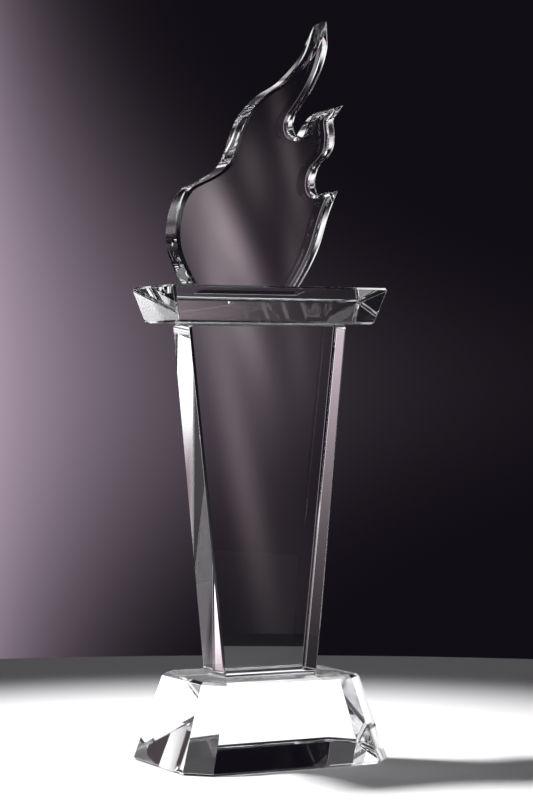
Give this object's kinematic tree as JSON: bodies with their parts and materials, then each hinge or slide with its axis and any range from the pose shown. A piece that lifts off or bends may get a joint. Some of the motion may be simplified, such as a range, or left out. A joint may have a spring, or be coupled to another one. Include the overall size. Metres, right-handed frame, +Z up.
{
  "type": "crystal award",
  "caption": "Clear crystal torch award: an upright bevelled flame plate bonded to a flared cap, on a column that narrows down to a tapered base with cut corners.",
  "frame": {"origin": "centre of the base's underside", "axes": "+Z up along the award's height, +X to the right as seen from the front, the front faces -Y"},
  "size_m": [0.115, 0.0776, 0.3586],
  "materials": {
    "crystal": "colourless optical crystal, all faces polished, edges bevelled and polished",
    "adhesive": "thin film of clear light-cured resin, set hard"
  },
  "bodies": {
    "root": {"base": "crystal", "base_bond": "adhesive", "column": "crystal", "cap_bond": "adhesive", "cap": "crystal", "flame_bond": "adhesive", "flame": "crystal"}
  },
  "joints": []
}
